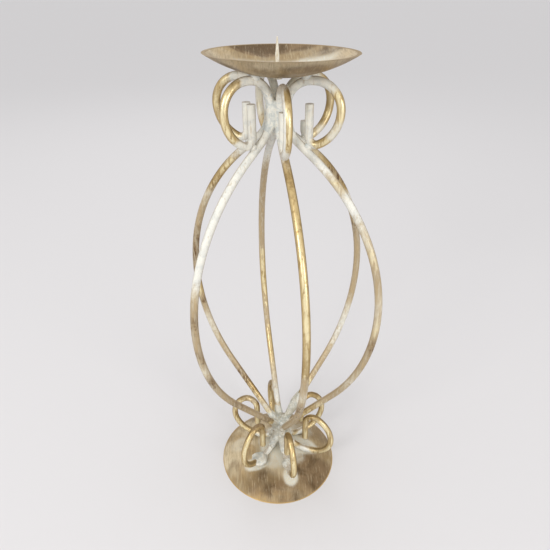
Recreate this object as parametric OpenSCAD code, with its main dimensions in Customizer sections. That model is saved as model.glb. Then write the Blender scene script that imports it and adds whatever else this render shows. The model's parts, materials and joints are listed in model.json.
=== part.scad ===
// Wire candle stand: six bent rods form an open cage between a domed base dish
// and a shallow drip pan with a spike. Each rod is one wire with a scroll at each end.
// Origin: middle of the base dish, on the floor. +Z up, -Y towards the viewer.

/* [Wire] */
// Diameter of the wire that the six rods are bent from
wire_d = 5.2; // [4:0.1:7]
// Gap between neighbouring rods where they stand together in the necks
wire_gap = 0.4; // [0.2:0.1:1]

/* [Base dish] */
// Diameter of the base dish at its rim
base_d = 103.6; // [90:0.2:150]
// Height of the base dish
base_h = 18.4; // [12:0.2:25]
// Thickness of the base dish's sheet
base_t = 1.5; // [0.8:0.1:3]

/* [Drip pan] */
// Height of the drip pan's rim above the floor
pan_rim_z = 350; // [280:1:420]
// Diameter of the drip pan at its rim
pan_d = 92.6; // [80:0.2:130]
// Depth of the drip pan, measured outside
pan_h = 13.4; // [10:0.2:20]
// Thickness of the drip pan's sheet
pan_t = 1.2; // [0.8:0.1:2.5]

/* [Candle spike] */
// Diameter of the spike's straight shank
spike_d = 2.4; // [2:0.1:5]
// Length of the straight shank above the spike's root
spike_shank = 10; // [5:0.5:30]
// Length of the tapered point on top of the shank
spike_point = 9.5; // [5:0.5:20]
// Diameter of the spike's flat tip
spike_tip_d = 0.8; // [0.4:0.1:1.5]
// Width by which the spike's root is thicker than its shank, all round
spike_root_rim = 0.6; // [0.3:0.1:1.5]
// Height of the spike's root above the pan's floor
spike_root_rise = 0.6; // [0.4:0.1:2]
// Width by which the nail head under the pan is wider than the root, all round
spike_head_rim = 1; // [0.6:0.1:2.5]
// Thickness of the nail head under the pan
spike_head_h = 1.2; // [0.6:0.1:2.5]

/* [Cage] */
// Widest radius of the cage, to the middle of the wire
bow_r = 76.6; // [60:0.2:100]
// Height of the cage's widest place
waist_z = 185; // [150:1:220]
// Radius of the bend under the upper neck
shoulder_bend = 20.9; // [10:0.1:30]
// Straight length of wire below the shoulder bend
shoulder_straight = 13.6; // [2:0.2:40]
// Radius of the bend above the lower neck
ankle_bend = 6.5; // [5:0.5:20]
// Straight length of wire above the ankle bend
ankle_straight = 66; // [20:1:100]
// Straight length of the rods in the upper neck
upper_neck_len = 4.2; // [2:0.2:12]
// Straight length of the rods in the lower neck
lower_neck_len = 7; // [1:0.1:12]
// Straight length of the front rod in the lower neck
front_neck_len = 3; // [2.8:0.1:12]
// Distance by which the front rod's crest hangs lower than the others, clear of the pan
front_drop = 2.8; // [1:0.1:6]
// Lean of the whole cage to the left, in degrees
cage_lean = 0.86; // [0:0.02:2]
// Distance of the cage's foot to the right of the base dish's middle
cage_shift = 2.9; // [0:0.1:5]

/* [Upper scrolls] */
// Radius of the bend that rises from the neck to the crest under the pan
crest_bend = 16; // [12:0.1:20]
// Straight length of wire at the crest
crest_straight = 2.2; // [0.5:0.1:8]
// Radius of the bend that leaves the crest
brow_bend = 16.2; // [12:0.1:20]
// Turn of the wire down the scroll's outer side, in degrees
flank_turn = 66; // [55:1:75]
// Radius of the hook at the scroll's low end
hook_bend = 4.4; // [3.6:0.1:6]
// Straight length of the upright wire end inside the scroll
tip_len = 19.8; // [8:0.2:26]
// Straight length of the right back rod's upright end
right_back_tip_len = 5.6; // [5.6:0.2:26]
// Straight length of the left back rod's upright end
left_back_tip_len = 17.4; // [8:0.2:26]

/* [Lower scrolls] */
// Radius of the bend that rests on the base dish
sole_bend = 16.9; // [13:0.1:20]
// Straight length of wire under the scroll
sole_straight = 6.4; // [2:0.2:12]
// Radius of the bend that rises from the sole
toe_bend = 17.9; // [14:0.1:22]
// Turn of the wire up and back over the scroll, in degrees
instep_turn = 56; // [45:1:65]
// Radius of the hook at the scroll's high end
curl_bend = 7.4; // [5:0.1:9]
// Straight length of the hanging wire end inside the scroll
curl_len = 20; // [6:0.5:24]
// Open gap between the hook and the rod above it
curl_gap = 2.2; // [0.6:0.1:4]

/* [Rod places] */
// Direction of the first rod, the front one, in degrees from +X
first_slot = -78; // [-90:1:-60]
// Front rod: turns of its bow, upper scroll and lower scroll, in degrees
turns_1 = [1, -4, 2]; // [-15:0.5:15]
// Right front rod: turns of its bow, upper scroll and lower scroll, in degrees
turns_2 = [-10, -4, -1]; // [-15:0.5:15]
// Right back rod: turns of its bow, upper scroll and lower scroll, in degrees
turns_3 = [-9, -12, -10]; // [-15:0.5:15]
// Back rod: turns of its bow, upper scroll and lower scroll, in degrees
turns_4 = [0, 8, 1]; // [-15:0.5:15]
// Left back rod: turns of its bow, upper scroll and lower scroll, in degrees
turns_5 = [-10, 4, -5.5]; // [-15:0.5:15]
// Left front rod: turns of its bow, upper scroll and lower scroll, in degrees
turns_6 = [1.5, -2, 7]; // [-15:0.5:15]

/* [Welds] */
// Radius of the weld beads under the pan and on the base dish
bead_r = 3.4; // [3:0.1:5]
// Radius of the tack beads between the upper hooks and the bows
tack_r = 2.6; // [2.2:0.1:4]
// Height of the weld core in the upper neck
upper_core_len = 12; // [4:0.5:20]
// Height of the weld core in the lower neck
lower_core_len = 12; // [4:0.5:20]
// Gap left between a wire and the dish it is welded to
seat_gap = 0.2; // [0.1:0.05:0.5]
// Gap left between an upper hook and its bow
tack_gap = 0.3; // [0.1:0.05:0.5]
// Gap around weld metal, so that it overlaps nothing
weld_gap = 0.06; // [0.04:0.01:0.1]

/* [Hidden] */
$fn = 64;
fine = 180;

// Places in a turns vector
BOW = 0;
UPPER = 1;
LOWER = 2;
turns = [turns_1, turns_2, turns_3, turns_4, turns_5, turns_6];
rods = len(turns);
drops = [front_drop, 0, 0, 0, 0, 0];
lower_necks = [for (i = [0 : rods - 1]) i == 0 ? front_neck_len : lower_neck_len];
tips = [tip_len, tip_len, right_back_tip_len, tip_len, left_back_tip_len, tip_len];
up = 90;
down = -90;

// The rods stand in a close ring around the cage's axis
column_r = (wire_d + wire_gap) / 2 / sin(180 / rods);
spike_root_d = spike_d + 2 * spike_root_rim;
spike_head_d = spike_root_d + 2 * spike_head_rim;
spike_clear = 0.1;

// Balls that join the pieces of a wire's run
joint_trim = 0.12;
joint_rise = 0.04;

// Both dishes are caps of spheres: rim radius and height give the sphere
function cap_sphere_r(rim_r, height) = (rim_r * rim_r + height * height) / 2 / height;
base_sphere_r = cap_sphere_r(base_d / 2, base_h);
base_middle = [0, 0, base_h - base_sphere_r];
pan_sphere_r = cap_sphere_r(pan_d / 2, pan_h);
pan_middle = [0, 0, pan_rim_z - pan_h + pan_sphere_r];

// The cage's own frame: its axis leans, and its foot stands beside the middle
cage_up = [-sin(cage_lean), 0, cos(cage_lean)];
function in_room(p) = [
    cage_shift + p.x * cos(cage_lean) - p.z * sin(cage_lean),
    p.y,
    p.x * sin(cage_lean) + p.z * cos(cage_lean)
];

// Direction of rod i, and a point of the cage at distance x outward from its column
function slot(i) = first_slot + i * 360 / rods;
function in_cage_at(i, turn, x, z) = [
    column_r * cos(slot(i)) + x * cos(slot(i) + turn),
    column_r * sin(slot(i)) + x * sin(slot(i) + turn),
    z
];

// Height along the cage's axis at which a point over p0 lies at a distance from the origin
function height_at(p0, distance, side) =
    -p0 * cage_up + side * sqrt(pow(p0 * cage_up, 2) - p0 * p0 + distance * distance);

// Height of the first bend's middle of each scroll: the feet lie on the base dish, and
// the pan lies on the crests that aren't dropped
function foot_z(i) = height_at(
    in_room(in_cage_at(i, turns[i][LOWER], sole_bend, 0)) - base_middle,
    base_sphere_r + seat_gap + wire_d / 2 + sole_bend, 1);
function crest_z(i) = height_at(
    in_room(in_cage_at(i, turns[i][UPPER], crest_bend, 0)) - pan_middle,
    pan_sphere_r + seat_gap + wire_d / 2 + crest_bend, -1) - drops[i];
function bow_top_z(i) = crest_z(i) - upper_neck_len;
function bow_end_z(i) = foot_z(i) + lower_necks[i];

// Half a bow reaches bow_width out over some height: bend, straight length, wide arc.
// The turn of the bend, and the two radii together, follow from that.
bow_width = bow_r - column_r;
function half_bow_turn(height, straight) = 2 * atan(bow_width / (height + straight));
function half_bow_radii(height, straight) =
    (height - straight * cos(half_bow_turn(height, straight)))
    / sin(half_bow_turn(height, straight));

// A scroll ends in a hook that lies at a gap from the bow's straight length. The radius
// of its flank is solved for that: x and z run from the bow's first bend's end to the
// flank's start, and the bow has turned by bow_turn there.
function flank_bend(x, z, bow_turn, flank, hook, gap) =
    (x * cos(bow_turn) + z * sin(bow_turn) - hook - wire_d - gap - hook * cos(flank + bow_turn))
    / (cos(bow_turn) - cos(flank + bow_turn));
function shoulder_turn(i) = half_bow_turn(bow_top_z(i) - waist_z, shoulder_straight);
function ankle_turn(i) = half_bow_turn(waist_z - bow_end_z(i), ankle_straight);
function upper_flank_bend(i) = flank_bend(
    crest_bend + crest_straight + brow_bend - shoulder_bend * (1 - cos(shoulder_turn(i))),
    crest_bend - brow_bend + upper_neck_len + shoulder_bend * sin(shoulder_turn(i)),
    shoulder_turn(i), flank_turn, hook_bend, tack_gap);
function lower_flank_bend(i) = flank_bend(
    sole_bend + sole_straight + toe_bend - ankle_bend * (1 - cos(ankle_turn(i))),
    sole_bend - toe_bend + lower_necks[i] + ankle_bend * sin(ankle_turn(i)),
    ankle_turn(i), instep_turn, curl_bend, curl_gap);

function mean(values) = values * [for (v = values) 1] / len(values);

// Runs of wire: each piece is [length, 0] for a straight or [radius, turn] for a bend,
// and a turn to the left is positive. A place on the way is [x, z, heading].
function upper_run(i) = [
    [crest_bend, -90],
    [crest_straight, 0],
    [brow_bend, -90],
    [upper_flank_bend(i), -flank_turn],
    [hook_bend, flank_turn - 180],
    [tips[i], 0]
];
function bow_run(i) =
    let (top_h = bow_top_z(i) - waist_z, end_h = waist_z - bow_end_z(i))
    [
        [upper_neck_len, 0],
        [shoulder_bend, shoulder_turn(i)],
        [shoulder_straight, 0],
        [half_bow_radii(top_h, shoulder_straight) - shoulder_bend, -shoulder_turn(i)],
        [half_bow_radii(end_h, ankle_straight) - ankle_bend, -ankle_turn(i)],
        [ankle_straight, 0],
        [ankle_bend, ankle_turn(i)],
        [lower_necks[i], 0]
    ];
function lower_run(i) = [
    [sole_bend, 90],
    [sole_straight, 0],
    [toe_bend, 90],
    [lower_flank_bend(i), instep_turn],
    [curl_bend, 180 - instep_turn],
    [curl_len, 0]
];

// Middle of a bend that starts at a place, and the place at a piece's end
function bend_middle(place, piece) =
    [place.x, place.y] + sign(piece[1]) * piece[0] * [-sin(place.z), cos(place.z)];
function next_place(place, piece) =
    piece[1] == 0
    ? [place.x + piece[0] * cos(place.z), place.y + piece[0] * sin(place.z), place.z]
    : let (
        middle = bend_middle(place, piece),
        heading = place.z + piece[1],
        arm = sign(piece[1]) * piece[0]
    )
    [middle.x + arm * sin(heading), middle.y - arm * cos(heading), heading];
function place_before(run, start, n) =
    n == 0 ? start : next_place(place_before(run, start, n - 1), run[n - 1]);

module in_cage() {
    translate([cage_shift, 0, 0]) rotate([0, -cage_lean, 0]) children();
}

// Upright plane of a run: x outward from the rod's column, y upward
module in_plane(i, part) {
    translate([column_r * cos(slot(i)), column_r * sin(slot(i)), 0])
        rotate([90, 0, slot(i) + turns[i][part]]) children();
}

// Each straight and each bend stops a little short of its ends, and a ball a hair wider than
// the wire joins it to the next one
module wire_straight(place, length, d) {
    translate([place.x, place.y, 0]) rotate([0, 90, place.z])
        translate([0, 0, joint_trim]) cylinder(d = d, h = length - 2 * joint_trim);
}

module wire_bend(place, piece, d) {
    middle = bend_middle(place, piece);
    trim = joint_trim / piece[0] * 180 / PI;
    first = place.z - sign(piece[1]) * 90 + min(piece[1], 0) + trim;
    translate([middle.x, middle.y, 0]) rotate([0, 0, first])
        rotate_extrude(angle = abs(piece[1]) - 2 * trim) translate([piece[0], 0]) circle(d = d);
}

module wire_joint(place, d) {
    translate([place.x, place.y, 0]) rotate([0, 90, place.z]) sphere(d = d + joint_rise);
}

// Draws the pieces of a run that are listed, or all of them
module wire_run(run, start, d, pieces) {
    for (n = is_undef(pieces) ? [0 : len(run) - 1] : pieces) {
        place = place_before(run, start, n);
        if (run[n][1] == 0) wire_straight(place, run[n][0], d);
        else wire_bend(place, run[n], d);
        wire_joint(place, d);
    }
}

module upper_scroll(i, d, pieces) {
    in_plane(i, UPPER) wire_run(upper_run(i), [0, crest_z(i), up], d, pieces);
}

// The bow's wire, with the straight lengths that run through both necks
module bow(i, d, pieces) {
    in_plane(i, BOW) wire_run(bow_run(i), [0, crest_z(i), down], d, pieces);
}

module lower_scroll(i, d, pieces) {
    in_plane(i, LOWER) wire_run(lower_run(i), [0, foot_z(i), down], d, pieces);
}

module scroll_rod(i) {
    color([0.72, 0.6, 0.4]) in_cage() {
        upper_scroll(i, wire_d);
        bow(i, wire_d);
        lower_scroll(i, wire_d);
    }
}

// Half section of a dish: the sheet between two spheres, as high as the cap
module dish_section(sphere_r, sheet, rim_r, height) {
    intersection() {
        difference() {
            circle(r = sphere_r, $fn = 360);
            circle(r = sphere_r - sheet, $fn = 360);
        }
        translate([0, sphere_r - height]) square([rim_r + sheet, height + sheet]);
    }
}

module base_dish() {
    color([0.6, 0.5, 0.36]) translate(base_middle)
        rotate_extrude($fn = 180) dish_section(base_sphere_r, base_t, base_d / 2, base_h);
}

// Height along the cage's axis of the drip pan's underside and floor
pan_under_z = height_at(in_room([0, 0, 0]) - pan_middle, pan_sphere_r, -1);
pan_floor_z = height_at(in_room([0, 0, 0]) - pan_middle, pan_sphere_r - pan_t, -1);

module drip_pan() {
    color([0.66, 0.57, 0.43]) difference() {
        translate(pan_middle) mirror([0, 0, 1])
            rotate_extrude($fn = 180) dish_section(pan_sphere_r, pan_t, pan_d / 2, pan_h);
        in_cage() translate([0, 0, pan_under_z - pan_t])
            cylinder(d = spike_root_d + 2 * spike_clear, h = 3 * pan_t);
    }
}

// A nail, turned in one piece: its head lies under the pan, its root fills the hole in
// the pan, and its shank and point stand above it
module candle_spike() {
    head_top_z = pan_under_z - seat_gap;
    head_z = head_top_z - spike_head_h;
    root_top_z = pan_floor_z + spike_root_rise;
    shank_top_z = root_top_z + spike_shank;
    color([0.93, 0.9, 0.82]) in_cage() rotate_extrude() polygon([
        [0, head_z],
        [spike_head_d / 2, head_z],
        [spike_head_d / 2, head_top_z],
        [spike_root_d / 2, head_top_z],
        [spike_root_d / 2, root_top_z],
        [spike_d / 2, root_top_z],
        [spike_d / 2, shank_top_z],
        [spike_tip_d / 2, shank_top_z + spike_point],
        [0, shank_top_z + spike_point]
    ]);
}

// Weld metal stops short of every wire by a gap, and only these pieces of a run reach it
weld_color = [0.9, 0.9, 0.86];
cut_d = wire_d + 2 * weld_gap;
crest_pieces = [0, 1];
hook_pieces = [3, 4, 5];
shoulder_pieces = [1, 2, 3];
sole_pieces = [0, 1];

// Weld metal of a neck: it fills the grooves between the rods along their straight length,
// and a core of it reaches further up and down inside the ring. The front rod bends away
// within that length, so its groove is wider.
module neck_weld(middle_z, neck_len, core_len) {
    color(weld_color) in_cage() translate([0, 0, middle_z]) {
        difference() {
            cylinder(r = column_r + wire_d / 4, h = neck_len, center = true);
            for (i = [0 : rods - 1])
                translate(in_cage_at(i, 0, 0, 0))
                    cylinder(d = cut_d, h = 2 * neck_len, center = true);
            translate(in_cage_at(0, 0, wire_d / 4, 0))
                cylinder(d = cut_d, h = 2 * neck_len, center = true);
        }
        cylinder(r = column_r - cut_d / 2, h = core_len, center = true);
    }
}

module upper_neck_weld() {
    crests = [for (i = [1 : rods - 1]) crest_z(i)];
    neck_weld(mean(crests) - upper_neck_len / 2, upper_neck_len, upper_core_len);
}

module lower_neck_weld() {
    feet = [for (i = [0 : rods - 1]) foot_z(i)];
    neck_weld(mean(feet) + lower_neck_len / 2, lower_neck_len, lower_core_len);
}

// A bead at the place where a scroll's first bend meets a dish
module bead_at(i, turn, bend, z, dish_middle) {
    middle = in_room(in_cage_at(i, turn, bend, z));
    towards = (dish_middle - middle) / norm(dish_middle - middle);
    translate(middle + towards * (bend + wire_d / 2)) sphere(r = bead_r);
}

// The front rod's crest stays clear of the pan
module pan_welds() {
    color(weld_color) for (i = [1 : rods - 1])
        difference() {
            bead_at(i, turns[i][UPPER], crest_bend, crest_z(i), pan_middle, $fn = fine);
            translate(pan_middle) sphere(r = pan_sphere_r + weld_gap, $fn = 2 * fine);
            in_cage() upper_scroll(i, cut_d, crest_pieces, $fn = fine);
        }
}

module base_welds() {
    color(weld_color) for (i = [0 : rods - 1])
        difference() {
            bead_at(i, turns[i][LOWER], sole_bend, foot_z(i), base_middle, $fn = fine);
            translate(base_middle) sphere(r = base_sphere_r + weld_gap, $fn = 2 * fine);
            in_cage() lower_scroll(i, cut_d, sole_pieces, $fn = fine);
        }
}

// A tack between each upper hook and its bow's straight length
module scroll_tacks() {
    color(weld_color) in_cage() for (i = [0 : rods - 1]) {
        hook = hook_pieces[1];
        hook_start = place_before(upper_run(i), [0, crest_z(i), up], hook);
        hook_middle = bend_middle(hook_start, upper_run(i)[hook]);
        reach = hook_bend + wire_d / 2 + tack_gap / 2;
        tack = hook_middle - reach * [cos(shoulder_turn(i)), sin(shoulder_turn(i))];
        difference() {
            translate(in_cage_at(i, (turns[i][BOW] + turns[i][UPPER]) / 2, tack.x, tack.y))
                sphere(r = tack_r);
            upper_scroll(i, cut_d, hook_pieces);
            bow(i, cut_d, shoulder_pieces);
        }
    }
}

base_dish();
drip_pan();
candle_spike();
scroll_rod(0);  // scroll_rod_1
scroll_rod(1);  // scroll_rod_2
scroll_rod(2);  // scroll_rod_3
scroll_rod(3);  // scroll_rod_4
scroll_rod(4);  // scroll_rod_5
scroll_rod(5);  // scroll_rod_6
upper_neck_weld();
lower_neck_weld();
pan_welds();
base_welds();
scroll_tacks();
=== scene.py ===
import bpy
import bmesh
import json
import math
from mathutils import Matrix, Vector, noise

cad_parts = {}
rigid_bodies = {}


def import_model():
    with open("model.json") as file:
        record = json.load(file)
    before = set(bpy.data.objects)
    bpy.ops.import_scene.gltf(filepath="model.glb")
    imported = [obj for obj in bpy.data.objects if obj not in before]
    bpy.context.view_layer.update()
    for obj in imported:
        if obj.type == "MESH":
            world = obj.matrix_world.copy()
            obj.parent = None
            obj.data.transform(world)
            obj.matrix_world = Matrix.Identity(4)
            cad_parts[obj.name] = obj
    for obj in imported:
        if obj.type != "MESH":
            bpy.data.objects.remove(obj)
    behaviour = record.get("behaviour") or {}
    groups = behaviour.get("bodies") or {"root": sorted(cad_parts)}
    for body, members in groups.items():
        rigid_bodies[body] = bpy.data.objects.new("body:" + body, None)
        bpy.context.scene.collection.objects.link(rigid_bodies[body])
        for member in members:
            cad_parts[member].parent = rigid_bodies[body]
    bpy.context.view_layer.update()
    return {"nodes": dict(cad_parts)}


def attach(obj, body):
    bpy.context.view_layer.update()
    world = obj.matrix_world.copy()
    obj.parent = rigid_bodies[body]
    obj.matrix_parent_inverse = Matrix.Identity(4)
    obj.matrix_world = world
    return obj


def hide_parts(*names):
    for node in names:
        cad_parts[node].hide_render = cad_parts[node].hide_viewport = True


for stray in list(bpy.data.objects):
    bpy.data.objects.remove(stray)
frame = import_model()
nodes = frame["nodes"]

MM = 0.001

# ---------------------------------------------------------------- camera
FOCAL_PX = 480.39
IMAGE_PX = 550.0
SENSOR_MM = 36.0
CAMERA_AT = Vector((0.0, -0.30514, 0.38245))
CAMERA_PITCH = 0.54125
CAMERA_YAW = -0.01070
CAMERA_ROLL = 0.00307


def make_camera():
    ahead = Vector((math.sin(CAMERA_YAW) * math.cos(CAMERA_PITCH),
                    math.cos(CAMERA_YAW) * math.cos(CAMERA_PITCH),
                    -math.sin(CAMERA_PITCH)))
    level = Vector((math.cos(CAMERA_YAW), -math.sin(CAMERA_YAW), 0.0))
    above = level.cross(ahead)
    right = math.cos(CAMERA_ROLL) * level + math.sin(CAMERA_ROLL) * above
    up = -math.sin(CAMERA_ROLL) * level + math.cos(CAMERA_ROLL) * above
    data = bpy.data.cameras.new("photo_camera")
    data.sensor_width = SENSOR_MM
    data.lens = FOCAL_PX / IMAGE_PX * SENSOR_MM
    data.clip_start = 0.01
    data.clip_end = 60.0
    camera = bpy.data.objects.new("photo_camera", data)
    turn = Matrix((right, up, -ahead)).transposed().to_4x4()
    camera.matrix_world = Matrix.Translation(CAMERA_AT) @ turn
    bpy.context.scene.collection.objects.link(camera)
    bpy.context.scene.camera = camera


make_camera()

# ---------------------------------------------------------------- sizes shared with the part (mm, degrees)
CAGE_SHIFT = 2.9
CAGE_LEAN = 0.86
BASE_D = 103.6
BASE_H = 18.4
PAN_D = 92.6
PAN_H = 13.4
PAN_RIM_Z = 350.0
ROD_TURN = {1: -77.0, 2: -28.0, 3: 33.0, 4: 102.0, 5: 152.0, 6: 223.5}
UPPER_TURN = {1: -4.0, 2: -4.0, 3: -12.0, 4: 8.0, 5: 4.0, 6: -2.0}
LOWER_TURN = {1: 2.0, 2: -1.0, 3: -10.0, 4: 1.0, 5: -5.5, 6: 7.0}
FIRST_SLOT, SLOT_STEP = -78.0, 60.0
COLUMN_R = 5.6
WIRE_R = 2.6
SEAT_GAP = 0.2
WAIST_Z, BOW_R = 185.0, 76.6
UPPER_NECK, LOWER_NECK, FRONT_NECK = 4.2, 7.0, 3.0
FRONT_DROP = 2.8
CREST_BEND, SHOULDER_BEND, SHOULDER_STRAIGHT = 16.0, 20.9, 13.6
SOLE_BEND, SOLE_STRAIGHT, TOE_BEND = 16.9, 6.4, 17.9
ANKLE_BEND, ANKLE_STRAIGHT = 6.5, 66.0

# ---------------------------------------------------------------- shader helpers
SPECULAR_LEVEL = 0.35


class Paint:
    """A node material under construction. Sockets go in and out of its methods."""

    def __init__(self, name):
        self.material = bpy.data.materials.new(name)
        self.material.use_nodes = True
        self.tree = self.material.node_tree
        self.tree.nodes.clear()
        self.place = self.node("ShaderNodeTexCoord").outputs["Object"]

    def node(self, kind, **settings):
        made = self.tree.nodes.new(kind)
        for key, value in settings.items():
            setattr(made, key, value)
        return made

    def put(self, socket, value):
        if isinstance(value, bpy.types.NodeSocket):
            self.tree.links.new(value, socket)
        else:
            socket.default_value = value

    def math(self, operation, a, b=0.0, c=0.0):
        made = self.node("ShaderNodeMath", operation=operation)
        for slot, value in zip(made.inputs, (a, b, c)):
            self.put(slot, value)
        return made.outputs[0]

    def vector(self, operation, a, b=(0.0, 0.0, 0.0)):
        made = self.node("ShaderNodeVectorMath", operation=operation)
        self.put(made.inputs[0], a)
        self.put(made.inputs[1], b)
        return made.outputs["Value" if operation == "LENGTH" else "Vector"]

    def steps(self, value, low, high, to_low=0.0, to_high=1.0):
        made = self.node("ShaderNodeMapRange", interpolation_type="SMOOTHSTEP")
        for slot, v in zip(made.inputs, (value, low, high, to_low, to_high)):
            self.put(slot, v)
        return made.outputs[0]

    def placed(self, shift=(0.0, 0.0, 0.0), turn=(0.0, 0.0, 0.0), scale=(1.0, 1.0, 1.0), of=None):
        """Coordinates of a frame that stands at shift, turned and scaled."""
        made = self.node("ShaderNodeMapping", vector_type="TEXTURE")
        self.put(made.inputs["Vector"], of or self.place)
        made.inputs["Location"].default_value = shift
        made.inputs["Rotation"].default_value = turn
        made.inputs["Scale"].default_value = scale
        return made.outputs[0]

    def noise(self, vector, scale, detail=3.0, rough=0.55, twist=0.0):
        made = self.node("ShaderNodeTexNoise")
        self.put(made.inputs["Vector"], vector)
        made.inputs["Scale"].default_value = scale
        made.inputs["Detail"].default_value = detail
        made.inputs["Roughness"].default_value = rough
        made.inputs["Distortion"].default_value = twist
        return made.outputs["Fac"]

    def mix(self, factor, a, b):
        made = self.node("ShaderNodeMix", data_type="RGBA", clamp_factor=True)
        self.put(made.inputs[0], factor)
        self.put(made.inputs[6], a)
        self.put(made.inputs[7], b)
        return made.outputs[2]

    def blend(self, factor, a, b):
        made = self.node("ShaderNodeMix", data_type="FLOAT", clamp_factor=True)
        self.put(made.inputs[0], factor)
        self.put(made.inputs[2], a)
        self.put(made.inputs[3], b)
        return made.outputs[0]

    def zone(self, place, centre, radii, soft=0.35):
        """1 inside an ellipsoid, falling to 0 outside it."""
        off = self.vector("SUBTRACT", place, centre)
        off = self.vector("MULTIPLY", off, tuple(1.0 / r for r in radii))
        return self.steps(self.vector("LENGTH", off), 1.0 - soft, 1.0 + soft, 1.0, 0.0)

    def zones(self, place, listed, start=0.0):
        total = start
        for centre, radii, weight in listed:
            total = self.math("MULTIPLY_ADD", self.zone(place, centre, radii), weight, total)
        return total

    def ramp(self, value, stops):
        made = self.node("ShaderNodeValToRGB")
        bar = made.color_ramp
        while len(bar.elements) > 1:
            bar.elements.remove(bar.elements[-1])
        bar.elements[0].position = stops[0][0]
        bar.elements[0].color = (*stops[0][1], 1.0)
        for position, colour in stops[1:]:
            bar.elements.new(position).color = (*colour, 1.0)
        self.put(made.inputs["Fac"], value)
        parts = self.node("ShaderNodeSeparateColor")
        self.put(parts.inputs[0], made.outputs["Color"])
        return parts.outputs

    def bump(self, height, strength, distance):
        made = self.node("ShaderNodeBump")
        made.inputs["Strength"].default_value = strength
        made.inputs["Distance"].default_value = distance
        self.put(made.inputs["Height"], height)
        return made.outputs[0]

    def finish(self, colour, rough, metal=0.0, normal=None, tint=None):
        shader = self.node("ShaderNodeBsdfPrincipled")
        if tint is not None:
            shader.inputs["Specular Tint"].default_value = tint
        self.put(shader.inputs["Base Color"], colour)
        self.put(shader.inputs["Roughness"], rough)
        self.put(shader.inputs["Metallic"], metal)
        shader.inputs["Specular IOR Level"].default_value = SPECULAR_LEVEL
        if normal is not None:
            self.put(shader.inputs["Normal"], normal)
        out = self.node("ShaderNodeOutputMaterial")
        self.tree.links.new(shader.outputs[0], out.inputs[0])
        return self.material


def rgb(r, g, b):
    """A colour given in the 0-255 values of a screen, as linear light. None of them is below 11."""
    return tuple(((c / 255 + 0.055) / 1.055) ** 2.4 for c in (r, g, b)) + (1.0,)


# the first gold is a painted highlight along the middle of the gilt wires
LIT_GOLD = rgb(246, 233, 190)
GOLD = rgb(208, 184, 134)
DEEP_GOLD = rgb(166, 138, 90)
TAN = rgb(192, 172, 138)
BROWN = rgb(150, 126, 92)
# the next brown is painted shade at the sides of the gilt wires
EDGE_SHADE_BROWN = rgb(128, 104, 66)
DARK = rgb(108, 82, 54)
DISH_CREAM = rgb(212, 196, 164)
DISH_TAN = rgb(150, 128, 92)
DISH_GOLD = rgb(170, 140, 92)
DISH_BROWN = rgb(124, 101, 74)
DISH_DARK = rgb(78, 57, 34)
DISH_CHALK = rgb(208, 208, 198)
# the next gold is a painted highlight along the base dish's rim
RIM_HIGHLIGHT_GOLD = rgb(182, 152, 100)
EDGE_TINT = (0.62, 0.53, 0.39, 1.0)
CHALK = rgb(240, 239, 230)
COOL_CHALK = rgb(222, 224, 219)
WELD_SHADE = rgb(204, 209, 206)
DARKER_PATCH_COLOUR = rgb(158, 150, 128)
CREAM = rgb(216, 206, 182)

# ---------------------------------------------------------------- the rods' paint
# One entry per height on the bow (mm): share of white wash, of gilding, and of dark brown under both.
WHITE, PALE, MOTTLED = (0.95, 0.1, 0.1), (0.62, 0.35, 0.1), (0.45, 0.6, 0.25)
TANNED, BROWNED, DARKENED = (0.22, 0.15, 0.1), (0.12, 0.2, 0.55), (0.0, 0.35, 0.9)
# LIT, used on the front bow, is full gilding with no dark brown, placed where that bow's bright highlight falls: a
# painted highlight
GILT, DEEP, LIT = (0.05, 0.9, 0.25), (0.0, 0.8, 0.75), (0.12, 1.0, 0.0)
BOW_LOW, BOW_HIGH = 40.0, 310.0
BOWS = {
    1: ((48, TANNED), (100, TANNED), (130, BROWNED), (145, PALE), (160, TANNED), (172, DEEP), (204, GILT),
        (220, LIT), (266, LIT), (277, GILT), (285, DEEP), (290, MOTTLED), (300, WHITE)),
    2: ((50, WHITE), (62, GILT), (85, MOTTLED), (102, TANNED), (120, PALE), (138, TANNED), (160, BROWNED),
        (176, MOTTLED), (195, PALE), (215, TANNED), (232, MOTTLED), (250, PALE), (264, WHITE), (276, MOTTLED),
        (290, WHITE)),
    3: ((50, WHITE), (66, GILT), (94, TANNED), (110, PALE), (128, (0.75, 0.3, 0.1)), (146, PALE), (160, TANNED),
        (205, TANNED), (222, BROWNED), (236, MOTTLED), (248, WHITE), (256, DEEP), (268, DARKENED), (278, DEEP),
        (288, MOTTLED), (300, WHITE)),
    4: ((58, WHITE), (70, PALE), (84, MOTTLED), (102, GILT), (120, TANNED), (150, GILT), (170, GILT),
        (190, TANNED), (245, TANNED), (262, TANNED), (272, PALE), (286, WHITE)),
    5: ((52, WHITE), (64, MOTTLED), (76, DEEP), (90, BROWNED), (112, TANNED), (128, PALE), (142, PALE),
        (155, BROWNED), (168, GILT), (182, BROWNED), (215, BROWNED), (240, TANNED), (254, PALE), (266, DEEP),
        (276, GILT), (286, PALE), (296, WHITE)),
    6: ((50, WHITE), (58, BROWNED), (80, TANNED), (100, BROWNED), (122, TANNED), (140, BROWNED), (150, PALE),
        (164, BROWNED), (178, TANNED), (196, BROWNED), (208, TANNED), (218, PALE), (228, WHITE), (290, WHITE)),
}
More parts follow.
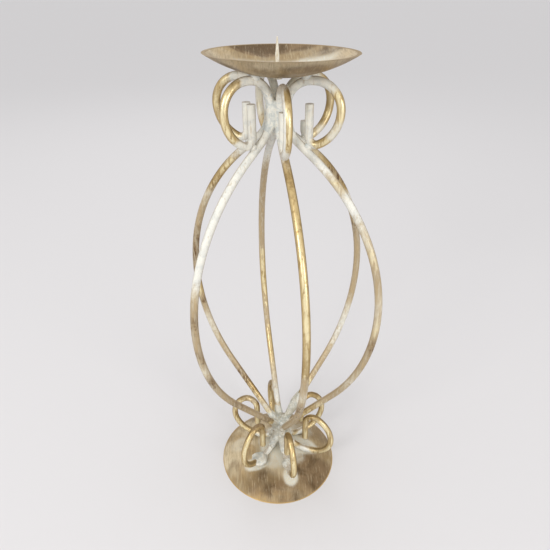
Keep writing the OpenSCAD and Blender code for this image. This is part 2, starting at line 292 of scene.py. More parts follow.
# Zones on the scrolls, in the rod's own plane (out from the column, across it, up): place, radii, weight.
FAR = 40.0
CREST_WHITE = ((12.0, 0.0, 333.0), (17.0, FAR, 22.0), 0.9)
COLUMN_WHITE = ((4.0, 0.0, 314.0), (8.0, FAR, 17.0), 0.7)
TIP_WHITE = ((20.0, 0.0, 314.0), (5.5, FAR, 14.0), 0.85)
FOOT_WHITE = ((22.0, 0.0, 15.0), (9.0, FAR, 6.0), 0.7)
HUB_WHITE = ((3.0, 0.0, 36.0), (13.0, FAR, 19.0), 0.9)
SCROLL_WHITE = {
    1: (CREST_WHITE, COLUMN_WHITE, TIP_WHITE, HUB_WHITE, ((40.0, -6.0, 322.0), (16.0, 6.4, 22.0), 0.85),
        ((34.0, 0.0, 301.0), (9.0, FAR, 9.0), 0.5), ((44.0, -6.0, 36.0), (9.0, 6.2, 24.0), 0.95),
        ((28.0, 0.0, 16.0), (12.0, FAR, 5.0), 0.8)),
    2: (CREST_WHITE, COLUMN_WHITE, TIP_WHITE, HUB_WHITE, FOOT_WHITE, ((30.0, 0.0, 334.0), (9.0, FAR, 7.0), 0.5),
        ((40.0, 0.0, 306.0), (8.0, FAR, 8.0), 0.45)),
    3: (CREST_WHITE, COLUMN_WHITE, TIP_WHITE, HUB_WHITE, FOOT_WHITE, ((33.0, 0.0, 300.0), (6.0, FAR, 5.0), 0.4)),
    4: (CREST_WHITE, COLUMN_WHITE, TIP_WHITE, HUB_WHITE, ((34.0, 0.0, 322.0), (14.0, FAR, 18.0), 0.45)),
    5: (CREST_WHITE, COLUMN_WHITE, TIP_WHITE, HUB_WHITE, FOOT_WHITE, ((28.0, 0.0, 296.0), (8.0, FAR, 5.0), 0.5)),
    6: (CREST_WHITE, COLUMN_WHITE, TIP_WHITE, HUB_WHITE, FOOT_WHITE, ((30.0, 0.0, 299.0), (9.0, FAR, 6.0), 0.55),
        ((15.0, 0.0, 22.0), (11.0, FAR, 11.0), 0.9)),
}
SCROLL_DARK = {
    1: (((40.0, 6.0, 318.0), (16.0, 5.4, 24.0), 0.25),),
    2: (((30.0, 0.0, 62.0), (12.0, FAR, 4.0), 0.4),),
    3: (((38.0, 0.0, 318.0), (10.0, FAR, 24.0), 0.45), ((34.0, 0.0, 60.0), (16.0, FAR, 6.0), 0.7)),
    4: (((34.0, 0.0, 50.0), (16.0, FAR, 14.0), 0.6),),
    5: (((40.0, 0.0, 322.0), (10.0, FAR, 20.0), 0.35), ((34.0, 0.0, 62.0), (16.0, FAR, 4.0), 0.5)),
    6: (((28.0, 0.0, 58.0), (12.0, FAR, 9.0), 0.55),),
}
# How far the front rod's scrolls lean across its plane, for each millimetre outward
FRONT_LEAN, LOW_LEAN = 0.087, -0.0175
# Heights (mm) that part the two scrolls, and those between which a scroll's paint passes into the bow's
UPPER_FROM = (200.0, 220.0)
LOW_SCROLL, HOOK_TOP, INNER_TIP = (50.0, 56.0), (60.0, 66.0), (58.0, 62.0)
HIGH_SCROLL, HIGH_HOOK, HIGH_HOOK_FOOT = (305.0, 309.0), (320.0, 324.0), (291.0, 294.0)


def rod_paint(number):
    p = Paint("gilt_wire_%d" % number)
    # painted highlight and shade: the wire is painted lighter where it faces the front or the back, and browner at
    # its sides between
    turned = p.node("ShaderNodeSeparateXYZ")
    p.put(turned.inputs[0], p.node("ShaderNodeNewGeometry").outputs["Normal"])
    facing_front_or_back = p.math("ABSOLUTE", turned.outputs[1])
    edge_shade = p.steps(facing_front_or_back, 0.2, 0.62, 1.0, 0.0)
    ridge_highlight = p.steps(facing_front_or_back, 0.72, 0.97)
    cage = p.placed((CAGE_SHIFT * MM, 0.0, 0.0), (0.0, math.radians(-CAGE_LEAN), 0.0), (MM, MM, MM))
    plane = p.placed(turn=(0.0, 0.0, math.radians(ROD_TURN[number])), of=cage)
    axes = p.node("ShaderNodeSeparateXYZ")
    p.put(axes.inputs[0], plane)
    out, height = axes.outputs[0], axes.outputs[2]
    # strokes run along the bow, blotches on the scrolls
    drawn = p.vector("MULTIPLY", plane, (1.0, 1.0, 0.09))
    seed = p.vector("ADD", drawn, (17.0 * number, 3.0, 5.0))
    streak = p.noise(seed, 0.55, 4.0, 0.6, 0.4)
    mottle = p.noise(p.vector("ADD", plane, (11.0, 7.0 * number, 0.0)), 0.22, 5.0, 0.62, 0.6)
    grain = p.noise(plane, 1.7, 3.0, 0.6)
    # on the bow: the heights' own list
    span = BOW_HIGH - BOW_LOW
    share = p.math("MULTIPLY_ADD", height, 1.0 / span, -BOW_LOW / span)
    wobble = p.math("MULTIPLY_ADD", mottle, 0.05, -0.025)
    bow = p.ramp(p.math("ADD", share, wobble), [((z - BOW_LOW) / span, c) for z, c in BOWS[number]])
    # on the scrolls: gilding, with washed zones
    scroll_white = p.zones(plane, SCROLL_WHITE[number], 0.24)
    scroll_dark = p.zones(plane, SCROLL_DARK[number], 0.15)
    scroll_gold = 0.85
    if number == 1:
        # the front scrolls are washed on their left sides only
        upper = p.steps(height, *UPPER_FROM)
        lean = p.blend(upper, LOW_LEAN, FRONT_LEAN)
        side = p.math("MULTIPLY_ADD", p.math("SUBTRACT", out, COLUMN_R), lean, axes.outputs[1])
        right = p.math("MAXIMUM", p.steps(side, -2.2, -0.9), p.math("SUBTRACT", 1.0, upper))
        ends = p.math("MULTIPLY", p.steps(height, 298.0, 306.0), p.steps(height, 332.0, 336.0, 1.0, 0.0))
        gilt = p.math("MULTIPLY", right, p.blend(upper, p.steps(height, 21.0, 29.0), ends))
        gilt = p.math("MULTIPLY", gilt, p.blend(upper, p.steps(out, 17.0, 23.0), p.steps(out, 24.0, 29.0)))
        scroll_white = p.math("MAXIMUM", scroll_white, 0.8)
        scroll_white = p.math("MULTIPLY", scroll_white, p.math("MULTIPLY_ADD", gilt, -0.97, 1.0))
    # the bow lies outside both scrolls: above the lower one and below the upper one
    low_scroll = p.steps(p.math("MULTIPLY_ADD", out, -0.28, height), *LOW_SCROLL, 1.0, 0.0)
    hook_top = p.math("MULTIPLY", p.steps(height, *HOOK_TOP, 1.0, 0.0), p.steps(out, 24.0, 30.0))
    inner_tip = p.math("MULTIPLY", p.steps(out, 19.5, 20.5), p.steps(height, *INNER_TIP, 1.0, 0.0))
    low = p.math("MAXIMUM", p.math("MAXIMUM", low_scroll, hook_top), inner_tip)
    high = p.math("MAXIMUM", p.steps(height, *HIGH_SCROLL),
                  p.math("MULTIPLY", p.steps(p.math("ADD", out, height), *HIGH_HOOK),
                         p.steps(height, *HIGH_HOOK_FOOT)))
    scroll = p.math("MAXIMUM", low, high)
    white = p.blend(scroll, bow[0], scroll_white)
    gold = p.blend(scroll, bow[1], scroll_gold)
    dark = p.blend(scroll, bow[2], scroll_dark)
    # brushwork breaks up each layer's edge
    brush = p.math("ADD", p.math("MULTIPLY", streak, 0.55), p.math("MULTIPLY", mottle, 0.45))
    white_at = p.math("MULTIPLY_ADD", brush, 1.6, p.math("SUBTRACT", white, 1.3))
    white_mask = p.steps(white_at, -0.34, 0.38)
    white_mask = p.math("MULTIPLY", white_mask, p.steps(grain, 0.28, 0.42, 0.8, 0.97))
    gold_at = p.math("MULTIPLY_ADD", streak, 1.5, p.math("SUBTRACT", gold, 1.25))
    gold_mask = p.steps(gold_at, -0.2, 0.25)
    dark_at = p.math("MULTIPLY_ADD", mottle, 1.2, p.math("SUBTRACT", dark, 1.05))
    dark_mask = p.steps(dark_at, -0.25, 0.3)
    under = p.mix(dark_mask, p.mix(p.steps(streak, 0.35, 0.65), TAN, BROWN), DARK)
    under = p.mix(p.steps(streak, 0.42, 0.62, 0.0, 0.5), under, CREAM)
    # painted shade: the undercoat turns brown at the wire's sides
    under = p.mix(p.math("MULTIPLY", edge_shade, 0.6), under, BROWN)
    leaf = p.mix(p.steps(streak, 0.28, 0.52), DEEP_GOLD, GOLD)
    # painted highlight: pale gold along the wire's middle where it faces the front or the back
    leaf = p.mix(p.math("MULTIPLY", ridge_highlight, p.steps(streak, 0.34, 0.54)), leaf, LIT_GOLD)
    gilding = p.mix(p.math("MULTIPLY", dark_mask, 0.7), leaf, DEEP_GOLD)
    # painted shade: the gilding turns brown at the wire's sides
    gilding = p.mix(p.math("MULTIPLY", edge_shade, 0.85), gilding, EDGE_SHADE_BROWN)
    wash = p.mix(p.steps(mottle, 0.36, 0.6), COOL_CHALK, CHALK)
    wash = p.mix(p.steps(white, 0.45, 0.85), CREAM, wash)
    wash = p.mix(p.steps(streak, 0.3, 0.44, 0.55, 0.0), wash, TAN)
    # painted shade: the white wash turns brown at the wire's sides, broken up by grain
    wash = p.mix(p.math("MULTIPLY", edge_shade, p.steps(grain, 0.3, 0.7, 0.35, 0.75)), wash, BROWN)
    colour = p.mix(white_mask, p.mix(gold_mask, under, gilding), wash)
    bare = p.math("SUBTRACT", 1.0, white_mask)
    metal = p.math("MULTIPLY", p.math("MULTIPLY_ADD", gold_mask, 0.45, 0.1), bare)
    rough = p.math("MULTIPLY_ADD", grain, 0.16, p.blend(white_mask, 0.24, 0.3))
    relief = p.math("ADD", p.math("MULTIPLY", white_mask, 0.7), p.math("MULTIPLY", grain, 0.5))
    return p.finish(colour, rough, metal, p.bump(relief, 0.3, 0.35 * MM), EDGE_TINT)


# ---------------------------------------------------------------- the dishes' paint
def dish_paint(name, strokes, whites, darks, golds, creams, rim, rim_reach, rim_colour):
    """Finely brushed brown and beige, with washed, darkened and gilt places on the dish (mm)."""
    p = Paint(name)
    place = p.placed(scale=(MM, MM, MM))
    across = p.placed(turn=(0.0, 0.0, math.radians(STROKES_TURN)), of=place)
    hair = p.noise(p.vector("MULTIPLY", across, (1.0, 0.09, 0.09)), 1.15, 3.0, 0.65, 0.2)
    band = p.noise(p.vector("MULTIPLY", across, (1.0, 0.45, 0.45)), 0.11, 4.0, 0.62, 0.6)
    cloud = p.noise(place, 0.06, 5.0, 0.62, 0.8)
    grain = p.noise(place, 1.3, 3.0, 0.6)
    brush = p.math("MULTIPLY_ADD", hair, 0.35, p.math("MULTIPLY", cloud, 0.65))
    white = p.zones(place, whites, 0.0)
    dark = p.zones(place, darks, 0.1)
    gold = p.zones(place, golds, 0.1)
    white_mask = p.steps(p.math("MULTIPLY_ADD", brush, 1.4, p.math("SUBTRACT", white, 1.18)), -0.38, 0.42)
    dark_mask = p.steps(p.math("MULTIPLY_ADD", band, 1.4, p.math("SUBTRACT", dark, 1.0)), -0.42, 0.5)
    gold_mask = p.steps(p.math("MULTIPLY_ADD", cloud, 1.4, p.math("SUBTRACT", gold, 1.1)), -0.4, 0.5)
    cream = p.math("ADD", p.zones(place, creams, -0.1), p.math("MULTIPLY_ADD", band, 1.5, -0.62))
    ground = p.mix(p.steps(cream, -0.25, 0.75), DISH_TAN, DISH_CREAM)
    ground = p.mix(p.math("MULTIPLY", gold_mask, 0.7), ground, DISH_GOLD)
    faded = p.math("MULTIPLY", p.steps(cloud, 0.4, 0.6), p.steps(dark, 0.9, 1.5, 1.0, 0.0))
    ground = p.mix(p.math("MULTIPLY", dark_mask, 0.9), ground, p.mix(faded, DISH_DARK, DISH_BROWN))
    ground = p.mix(p.steps(hair, 0.48, 0.68, 0.0, strokes), ground, DISH_BROWN)
    ground = p.mix(p.steps(hair, 0.3, 0.48, 0.8 * strokes, 0.0), ground, DISH_CREAM)
    colour = p.mix(white_mask, ground, p.mix(p.steps(grain, 0.3, 0.6), DISH_CREAM, DISH_CHALK))
    # a thin line of rim_colour along the dish's edge: on the base it is a painted highlight in gold, on the pan a tan
    # line
    axes = p.node("ShaderNodeSeparateXYZ")
    p.put(axes.inputs[0], place)
    at_rim = p.steps(p.math("ABSOLUTE", p.math("SUBTRACT", axes.outputs[2], rim)), rim_reach / 2, rim_reach, 1.0, 0.0)
    colour = p.mix(p.math("MULTIPLY", at_rim, p.steps(cloud, 0.3, 0.55, 0.5, 1.0)), colour, rim_colour)
    bare = p.math("SUBTRACT", 1.0, white_mask)
    metal = p.math("MULTIPLY", p.math("MULTIPLY_ADD", gold_mask, 0.3, 0.15), bare)
    rough = p.math("MULTIPLY_ADD", grain, 0.15, p.blend(white_mask, 0.38, 0.5))
    relief = p.math("MULTIPLY_ADD", hair, 0.8, p.math("MULTIPLY", white_mask, 0.5))
    return p.finish(colour, rough, metal, p.bump(relief, 0.25, 0.3 * MM), EDGE_TINT)


def weld_paint(name, pinhole_shade=None, darker_patches=0.0):
    """Thick white paint over welds, greyer in its hollows, with brown showing at thin places."""
    p = Paint(name)
    place = p.placed(scale=(MM, MM, MM))
    lumps = p.noise(place, 0.3, 4.0, 0.55, 0.4)
    grain = p.noise(place, 1.6, 3.0, 0.6)
    colour = p.mix(p.steps(lumps, 0.36, 0.6), WELD_SHADE, CHALK)
    colour = p.mix(p.steps(p.math("MULTIPLY_ADD", grain, 0.5, p.math("MULTIPLY", lumps, 0.5)), 0.54, 0.66, 0.0, 0.7),
                   colour, TAN)
    # patches of darker grey-brown mixed in by noise, up to the given strength, on the lower neck and the feet
    if darker_patches:
        colour = p.mix(p.steps(p.noise(place, 0.16, 3.0, 0.6, 0.5), 0.34, 0.62, 0.15, darker_patches), colour, DARKER_PATCH_COLOUR)
    # painted shade: a dark spot where the pinhole is, standing in for the shade inside it
    if pinhole_shade is not None:
        colour = p.mix(p.zone(place, pinhole_shade, (0.9, 0.9, 0.9), 0.3), colour, DARK)
    relief = p.math("ADD", lumps, p.math("MULTIPLY", grain, 0.3))
    return p.finish(colour, p.math("MULTIPLY_ADD", grain, 0.2, 0.3), 0.0, p.bump(relief, 0.4, 0.5 * MM))


def spike_paint():
    p = Paint("spike_paint_mat")
    place = p.placed(scale=(MM, MM, MM))
    lumps = p.noise(p.vector("MULTIPLY", place, (1.0, 1.0, 0.3)), 0.8, 3.0, 0.6)
    colour = p.mix(p.steps(lumps, 0.35, 0.65), CREAM, CHALK)
    return p.finish(colour, p.math("MULTIPLY_ADD", lumps, 0.2, 0.35), 0.1, p.bump(lumps, 0.3, 0.2 * MM))


def dress(name, material):
    slots = nodes[name].data.materials
    for i in range(len(slots)):
        slots[i] = material
    if len(slots) == 0:
        slots.append(material)


for number in ROD_TURN:
    dress("scroll_rod_%d" % number, rod_paint(number))

# Zones on the dishes (mm): place, radii, weight. HIGH reaches through the dish; the strokes run along +Y,
# turned by some degrees.
HIGH = 60.0
STROKES_TURN = 4.0
BASE_WHITES = (((1.0, 2.0, 18.0), (19.0, 17.0, HIGH), 1.0), ((-3.0, -15.0, 18.0), (14.0, 12.0, HIGH), 0.65),
               ((-20.0, -22.0, 12.0), (9.0, 5.5, HIGH), 1.0), ((24.0, -2.0, 14.0), (13.0, 8.0, HIGH), 0.85),
               ((16.0, -12.0, 15.0), (9.0, 9.0, HIGH), 0.5), ((11.5, -32.0, 9.0), (6.5, 7.5, HIGH), 0.85),
               ((-36.0, 2.0, 8.0), (8.0, 8.0, HIGH), 0.35), ((22.0, 18.0, 12.0), (12.0, 10.0, HIGH), 0.4))
# The first dark zone, on the dish's right front, is painted shade on the side turned away from the light.
BASE_DARKS = (((34.0, -25.0, 5.0), (20.0, 15.0, HIGH), 0.68), ((-12.0, -37.0, 8.0), (16.0, 9.0, HIGH), 0.4),
              ((8.0, -44.0, 5.0), (18.0, 8.0, HIGH), 0.35), ((40.0, 20.0, 5.0), (12.0, 12.0, HIGH), 0.25),
              ((0.0, 40.0, 5.0), (30.0, 14.0, HIGH), 0.25))
BASE_GOLDS = (((-40.0, -24.0, 5.0), (12.0, 9.0, HIGH), 0.35), ((-27.0, -9.0, 12.0), (7.0, 7.0, HIGH), 0.9),
              ((-42.0, 20.0, 5.0), (10.0, 12.0, HIGH), 0.5), ((20.0, 12.0, 12.0), (10.0, 9.0, HIGH), 0.35),
              ((0.0, -48.0, 2.0), (40.0, 5.0, HIGH), 0.4))
BASE_CREAMS = (((-37.0, -6.0, 8.0), (15.0, 20.0, HIGH), 1.0), ((-26.0, 22.0, 12.0), (16.0, 12.0, HIGH), 0.8),
               ((24.0, 2.0, 13.0), (10.0, 8.0, HIGH), 0.5), ((6.0, -46.0, 4.0), (18.0, 5.0, HIGH), 0.4),
               ((2.0, -24.0, 14.0), (14.0, 10.0, HIGH), 0.4))
dress("base_dish", dish_paint("base_brushed", 0.42, BASE_WHITES, BASE_DARKS, BASE_GOLDS, BASE_CREAMS,
                              0.1, 0.5, RIM_HIGHLIGHT_GOLD))
PAN_WHITES = (((4.0, 14.0, 342.0), (36.0, 12.0, 8.0), 0.5), ((2.0, -20.0, 342.0), (26.0, 12.0, 5.0), 0.25),
              ((24.0, 22.0, 346.0), (14.0, 9.0, HIGH), 0.35))
PAN_DARKS = (((-26.0, 40.0, 349.0), (27.0, 10.5, HIGH), 1.6), ((14.0, 46.0, 350.0), (34.0, 9.0, HIGH), 0.75),
             ((36.0, 30.0, 349.0), (11.0, 9.0, HIGH), 0.5), ((10.0, -34.0, 341.0), (24.0, 12.0, 8.0), 0.35),
             ((-30.0, -22.0, 341.0), (9.0, 9.0, 8.0), 0.35))
PAN_GOLDS = (((-30.0, 20.0, 346.0), (14.0, 14.0, HIGH), 0.35), ((10.0, -30.0, 341.0), (30.0, 14.0, 8.0), 0.5))
PAN_CREAMS = (((-38.0, 4.0, 348.0), (12.0, 22.0, HIGH), 0.6), ((0.0, -36.0, 348.0), (40.0, 12.0, 6.0), 0.5),
              ((40.0, 8.0, 348.0), (12.0, 20.0, HIGH), 0.4), ((-14.0, -34.0, 343.0), (16.0, 12.0, 7.0), 0.5),
              ((0.0, 2.0, 338.0), (34.0, 14.0, 6.0), 0.6))
dress("drip_pan", dish_paint("pan_brushed", 0.42, PAN_WHITES, PAN_DARKS, PAN_GOLDS, PAN_CREAMS,
                             PAN_RIM_Z, 0.22, DISH_TAN))
dress("candle_spike", spike_paint())
for name in ("upper_neck_weld", "lower_neck_weld", "pan_welds", "base_welds", "scroll_tacks"):
    dress(name, weld_paint("paint_on_" + name))


# ---------------------------------------------------------------- thick paint over the welds
def in_room(x, y, z):
    lean = math.radians(CAGE_LEAN)
    return Vector((CAGE_SHIFT + x * math.cos(lean) - z * math.sin(lean), y, x * math.sin(lean) + z * math.cos(lean)))


def on_plane(number, turn, x, z):
    """Point at distance x outward from a rod's column, in a plane turned by an angle, at height z."""
    slot = math.radians(FIRST_SLOT + (number - 1) * SLOT_STEP)
    away = slot + math.radians(turn)
    return in_room(COLUMN_R * math.cos(slot) + x * math.cos(away), COLUMN_R * math.sin(slot) + x * math.sin(away), z)


def plane_side(number, turn):
    away = math.radians(FIRST_SLOT + (number - 1) * SLOT_STEP + turn)
    return Vector((-math.sin(away), math.cos(away), 0.0))


def bow_turn(number):
    return ROD_TURN[number] - FIRST_SLOT - (number - 1) * SLOT_STEP


def cap_radius(rim_r, height):
    return (rim_r * rim_r + height * height) / 2 / height


def height_over(point, centre_z, distance, side):
    """Height to add along the cage's axis, so that a point lies at a distance from a dish's middle."""
    lean = math.radians(CAGE_LEAN)
    axis = Vector((-math.sin(lean), 0.0, math.cos(lean)))
    off = point - Vector((0.0, 0.0, centre_z))
    return -off.dot(axis) + side * math.sqrt(off.dot(axis) ** 2 - off.dot(off) + distance * distance)


def foot_z(number):
    r = cap_radius(BASE_D / 2, BASE_H)
    return height_over(on_plane(number, LOWER_TURN[number], SOLE_BEND, 0.0), BASE_H - r,
                       r + SEAT_GAP + WIRE_R + SOLE_BEND, 1)


def crest_z(number):
    r = cap_radius(PAN_D / 2, PAN_H)
    z = height_over(on_plane(number, UPPER_TURN[number], CREST_BEND, 0.0), PAN_RIM_Z - PAN_H + r,
                    r + SEAT_GAP + WIRE_R + CREST_BEND, -1)
    return z - (FRONT_DROP if number == 1 else 0.0)


def half_bow_turn(height, straight):
    return 2 * math.atan((BOW_R - COLUMN_R) / (height + straight))


# Length (mm) of the steps along a rod's line
STEP = 1.2


def trace(start, pieces):
    """Places (x, z) every STEP mm along straights (length, 0) and bends (radius, turn)."""
    x, z, heading = start
    places = [(x, z)]
    for size, turn in pieces:
        length = abs(turn) * size if turn else size
        count = max(1, round(length / STEP))
        for _ in range(count):
            middle = heading + turn / count / 2
            x += length / count * math.cos(middle)
            z += length / count * math.sin(middle)
            heading += turn / count
            places.append((x, z))
    return places


def rod_line(number, turn, start, pieces):
    return [on_plane(number, turn, x, z) for x, z in trace(start, pieces)]


def along(stops, share):
    for (a, low), (b, high) in zip(stops, stops[1:]):
        if share <= b:
            return low + (high - low) * (share - a) / (b - a)
    return stops[-1][1]


# Corners of a paint tube's section, and size (mm) of the cells that fuse the tubes
RING = 14
SKIN_VOXEL = 0.55


def sweep(mesh, points, side, radii, widths=((0.0, 1.0), (1.0, 1.0)), shift=(0.0, 0.0, 0.0), rough=0.12):
    """A closed lumpy tube along points (mm); radii and widths are stops along its length."""
    rings = []
    for k, point in enumerate(points):
        share = k / (len(points) - 1)
        ahead = (points[min(k + 1, len(points) - 1)] - points[max(k - 1, 0)]).normalized()
        flat = (side - side.dot(ahead) * ahead).normalized()
        over = ahead.cross(flat)
        ring = []
        for q in range(RING):
            a = 2 * math.pi * q / RING
            way = flat * math.cos(a) * along(widths, share) + over * math.sin(a)
            lump = 1.0 + rough * noise.noise((point + way * 2.0) * 0.33)
            place = point + Vector(shift) + way * along(radii, share) * lump
            ring.append(mesh.verts.new(place * MM))
        rings.append(ring)
    for near, far in zip(rings, rings[1:]):
        for q in range(RING):
            mesh.faces.new((near[q], near[(q + 1) % RING], far[(q + 1) % RING], far[q]))
    mesh.faces.new(list(reversed(rings[0])))
    mesh.faces.new(rings[-1])


def flow(name, mesh, material, smoothing, *replaced):
    """Makes one skin of thick paint out of overlapping tubes, and hides the weld that it covers."""
    bmesh.ops.recalc_face_normals(mesh, faces=mesh.faces)
    data = bpy.data.meshes.new(name)
    mesh.to_mesh(data)
    mesh.free()
    piece = bpy.data.objects.new(name, data)
    bpy.context.scene.collection.objects.link(piece)
    fused = piece.modifiers.new("fused", "REMESH")
    fused.mode = "VOXEL"
    fused.voxel_size = SKIN_VOXEL * MM
    fused.use_smooth_shade = True
    settled = piece.modifiers.new("settled", "SMOOTH")
    settled.factor = 0.6
    settled.iterations = smoothing
    data.materials.append(material)
    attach(piece, "root")
    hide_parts(*replaced)


UP, DOWN = math.radians(90.0), math.radians(-90.0)
# Radii (mm) of the paint around a wire, as stops along its length, and heights of the paint between the wires
UPPER_SKIN = ((0.0, 3.0), (0.6, 2.95), (1.0, 2.45))
ANKLE_SKIN = ((0.0, 3.0), (0.7, 2.95), (1.0, 2.3))
FOOT_SKIN = ((0.0, 3.0), (0.7, 2.95), (1.0, 2.35))
UPPER_CORE = (308.0, 312.0, 316.0, 320.0, 324.0)
LOWER_CORE = (24.0, 30.0, 36.0, 41.0, 45.0)
# Share of its bend, and of its crest's turn, that the paint follows out of the upper neck
SHOULDER_SHARE, CREST_TURN = 0.9, math.radians(-42.0)
ACROSS = Vector((0.0, 1.0, 0.0))


def upper_neck_paint():
    mesh = bmesh.new()
    for number in ROD_TURN:
        top = crest_z(number)
        crest = rod_line(number, UPPER_TURN[number], (0.0, top - UPPER_NECK, UP),
                         ((UPPER_NECK, 0.0), (CREST_BEND, CREST_TURN)))
        sweep(mesh, crest, plane_side(number, UPPER_TURN[number]), UPPER_SKIN)
        turn = half_bow_turn(top - UPPER_NECK - WAIST_Z, SHOULDER_STRAIGHT)
        down = rod_line(number, bow_turn(number), (0.0, top, DOWN),
                        ((UPPER_NECK, 0.0), (SHOULDER_BEND, turn * SHOULDER_SHARE)))
        sweep(mesh, down, plane_side(number, bow_turn(number)), UPPER_SKIN)
    middle = [in_room(0.0, 0.0, z) for z in UPPER_CORE]
    sweep(mesh, middle, ACROSS, ((0.0, 2.6), (0.4, 4.6), (0.7, 4.6), (1.0, 2.6)))
    flow("upper_neck_paint", mesh, weld_paint("thick_paint_upper"), 7, "upper_neck_weld")


# Length (mm) of the paint up each rod's ankle, its widest factor, and the turn of the foot that it covers
ANKLE_PAINT = {1: (6.0, 1.15, 74.0), 2: (9.0, 1.2, 60.0), 3: (34.0, 1.95, 46.0), 4: (12.0, 1.2, 50.0),
               5: (10.0, 1.25, 50.0), 6: (9.0, 1.2, 70.0)}
# Place (mm) of the pinhole in the lower neck's paint, painted as a dark spot of shade; the mesh has no hole there
NECK_PINHOLE_SHADE = (-3.6, -5.2, 38.5)


def lower_neck_paint():
    mesh = bmesh.new()
    for number, (length, wide, foot_turn) in ANKLE_PAINT.items():
        low = foot_z(number)
        neck = FRONT_NECK if number == 1 else LOWER_NECK
        turn = half_bow_turn(WAIST_Z - low - neck, ANKLE_STRAIGHT)
        ankle = rod_line(number, bow_turn(number), (0.0, low, UP),
                         ((neck, 0.0), (ANKLE_BEND, -turn), (length, 0.0)))
        sweep(mesh, ankle, plane_side(number, bow_turn(number)), ANKLE_SKIN,
              ((0.0, 1.0), (0.3, 1.05), (0.62, wide), (1.0, 1.0)))
        foot = rod_line(number, LOWER_TURN[number], (0.0, low + 2.0, DOWN),
                        ((2.0, 0.0), (SOLE_BEND, math.radians(foot_turn))))
        sweep(mesh, foot, plane_side(number, LOWER_TURN[number]), FOOT_SKIN,
              ((0.0, 1.0), (0.5, 1.25), (1.0, 1.0)))
    middle = [in_room(0.0, 0.0, z) for z in LOWER_CORE]
    sweep(mesh, middle, ACROSS, ((0.0, 3.4), (0.4, 5.6), (0.75, 5.4), (1.0, 2.6)))
    flow("lower_neck_paint", mesh, weld_paint("thick_paint_lower", NECK_PINHOLE_SHADE, 0.7), 7, "lower_neck_weld")


# How far (mm) each foot's paint reaches before and behind the place where it meets the dish, how wide it is,
# how thick, and how far below the wire's middle it lies
FOOT_PAINT = {1: (3.0, 9.0, 1.5, 3.4, -0.4), 2: (5.0, 5.0, 1.6, 2.0, -1.7), 3: (4.0, 4.0, 1.4, 2.0, -1.7),
              4: (4.0, 4.0, 1.4, 2.0, -1.7), 5: (5.0, 5.0, 1.5, 2.0, -1.7), 6: (3.0, 14.0, 2.0, 3.8, -0.4)}


def foot_paint():
    mesh = bmesh.new()
    for number, (before, behind, wide, thick, below) in FOOT_PAINT.items():
        start = math.pi / 2 - before / SOLE_BEND
        x = SOLE_BEND * (1 - math.cos(start))
        z = foot_z(number) - SOLE_BEND * math.sin(start)
        line = rod_line(number, LOWER_TURN[number], (x, z, DOWN + start),
                        ((SOLE_BEND, math.pi / 2 - start), (min(behind, SOLE_STRAIGHT), 0.0),
                         (TOE_BEND, max(0.02, (behind - SOLE_STRAIGHT) / TOE_BEND))))
        sweep(mesh, line, plane_side(number, LOWER_TURN[number]),
              ((0.0, 0.5 * thick), (0.3, thick), (0.7, thick), (1.0, 0.5 * thick)),
              ((0.0, 1.2), (0.5, wide), (1.0, 1.2)), (0.0, 0.0, below), 0.3)
    flow("foot_paint", mesh, weld_paint("thick_paint_feet", darker_patches=0.6), 16, "base_welds")


upper_neck_paint()
lower_neck_paint()
foot_paint()


# ---------------------------------------------------------------- stage and light
# The floor is a disc (m) whose rings lie closer together near the stand
FLOOR_R, FLOOR_SPREAD = 40.0, 2.5
FLOOR_RINGS, FLOOR_SPOKES = 14, 96
# One plain tone as the camera and reflections show it, and a softer one for the light that it throws back
FLOOR_SHOWN, FLOOR_BOUNCED = rgb(214, 212, 213), rgb(184, 181, 180)


def make_floor():
    mesh = bmesh.new()
    rings = [[mesh.verts.new((0.0, 0.0, 0.0))]]
    for k in range(1, FLOOR_RINGS + 1):
        r = FLOOR_R * (k / FLOOR_RINGS) ** FLOOR_SPREAD
        rings.append([mesh.verts.new((r * math.cos(a), r * math.sin(a), 0.0))
                      for a in (2 * math.pi * s / FLOOR_SPOKES for s in range(FLOOR_SPOKES))])
    for s in range(FLOOR_SPOKES):
        t = (s + 1) % FLOOR_SPOKES
        mesh.faces.new((rings[0][0], rings[1][s], rings[1][t]))
        for k in range(1, FLOOR_RINGS):
            mesh.faces.new((rings[k][s], rings[k + 1][s], rings[k + 1][t], rings[k][t]))
    data = bpy.data.meshes.new("floor")
    mesh.to_mesh(data)
    mesh.free()
    floor = bpy.data.objects.new("floor", data)
    bpy.context.scene.collection.objects.link(floor)
    p = Paint("pale_floor")
    path = p.node("ShaderNodeLightPath").outputs
    shown = p.math("MAXIMUM", path["Is Camera Ray"], p.math("MAXIMUM", path["Is Glossy Ray"],
                                                            path["Is Transmission Ray"]))
    data.materials.append(p.finish(p.mix(shown, FLOOR_BOUNCED, FLOOR_SHOWN), 0.9))


LIGHT_AIM = Vector((0.0, 0.0, 0.2))
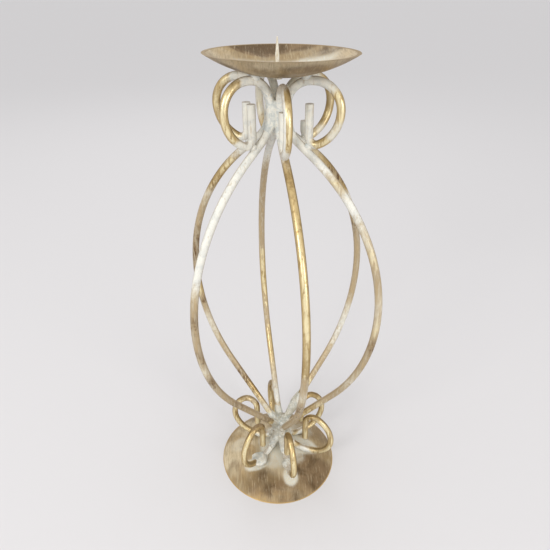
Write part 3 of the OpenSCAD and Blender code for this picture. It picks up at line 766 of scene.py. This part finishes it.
# Name, place (m), width (m), power (W) and tint of each soft light
LIGHTS = (("key_softbox", (-0.8, -1.1, 0.9), 0.5, 8.0, (1.0, 0.99, 0.97)),
          ("side_softbox", (0.9, -1.0, 0.5), 0.35, 4.0, (1.0, 0.98, 0.95)),
          ("back_softbox", (-0.3, 1.2, 1.2), 0.9, 2.0, (1.0, 1.0, 1.0)))
SKY_LOW, SKY_HIGH = (0.45, (0.5, 0.5, 0.52, 1.0)), (0.85, (1.0, 1.0, 1.0, 1.0))
SKY_SHOWN = rgb(242, 241, 244)


def make_light(name, at, size, power, tint):
    data = bpy.data.lights.new(name, "AREA")
    data.shape = "DISK"
    data.size = size
    data.energy = power
    data.color = tint
    lamp = bpy.data.objects.new(name, data)
    away = (Vector(at) - LIGHT_AIM).normalized()
    lamp.matrix_world = Matrix.Translation(Vector(at)) @ away.to_track_quat("Z", "Y").to_matrix().to_4x4()
    bpy.context.scene.collection.objects.link(lamp)


def make_world():
    world = bpy.data.worlds.new("soft_room")
    bpy.context.scene.world = world
    world.use_nodes = True
    tree = world.node_tree
    tree.nodes.clear()
    place = tree.nodes.new("ShaderNodeTexCoord")
    axes = tree.nodes.new("ShaderNodeSeparateXYZ")
    tree.links.new(place.outputs["Generated"], axes.inputs[0])
    bar = tree.nodes.new("ShaderNodeValToRGB")
    half = tree.nodes.new("ShaderNodeMath")
    half.operation = "MULTIPLY_ADD"
    half.inputs[1].default_value = 0.5
    half.inputs[2].default_value = 0.5
    tree.links.new(axes.outputs[2], half.inputs[0])
    tree.links.new(half.outputs[0], bar.inputs[0])
    for stop, (position, colour) in zip(bar.color_ramp.elements, (SKY_LOW, SKY_HIGH)):
        stop.position = position
        stop.color = colour
    light = tree.nodes.new("ShaderNodeBackground")
    light.inputs["Strength"].default_value = 1.0
    tree.links.new(bar.outputs[0], light.inputs["Color"])
    shown = tree.nodes.new("ShaderNodeBackground")
    shown.inputs["Color"].default_value = SKY_SHOWN
    path = tree.nodes.new("ShaderNodeLightPath")
    pick = tree.nodes.new("ShaderNodeMixShader")
    tree.links.new(path.outputs["Is Camera Ray"], pick.inputs[0])
    tree.links.new(light.outputs[0], pick.inputs[1])
    tree.links.new(shown.outputs[0], pick.inputs[2])
    out = tree.nodes.new("ShaderNodeOutputWorld")
    tree.links.new(pick.outputs[0], out.inputs[0])


make_floor()
make_world()
for row in LIGHTS:
    make_light(*row)

bpy.context.scene.view_settings.view_transform = "Standard"
